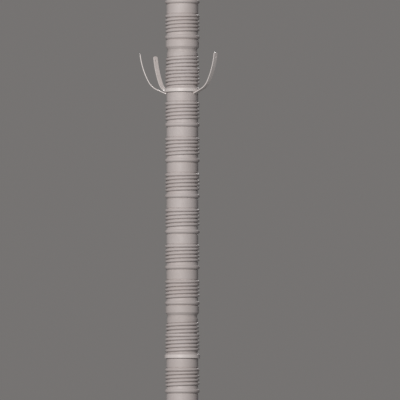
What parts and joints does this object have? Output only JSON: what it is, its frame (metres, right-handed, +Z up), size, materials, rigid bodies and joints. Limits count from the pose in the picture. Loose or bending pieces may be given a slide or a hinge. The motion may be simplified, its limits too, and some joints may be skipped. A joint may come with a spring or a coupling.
{
  "type": "flexible corrugated plastic flue liner with centring spacer",
  "caption": "Straight length of flexible corrugated plastic flue liner standing on its end, with a centring spacer whose curved arms reach up and out, and a plain snap ring.",
  "frame": {"origin": "centre of the liner's bottom cut end, on the floor it stands on", "axes": "+Z up along the liner; -Y towards the side the picture is taken from"},
  "size_m": [0.2195, 0.1991, 1.5],
  "materials": {
    "liner": "satin light grey polypropylene",
    "spacer": "satin off-white plastic",
    "ring": "satin off-white plastic"
  },
  "bodies": {
    "root": {"flue_liner": "liner", "centring_spacer": "spacer", "plain_ring": "ring"}
  },
  "joints": []
}
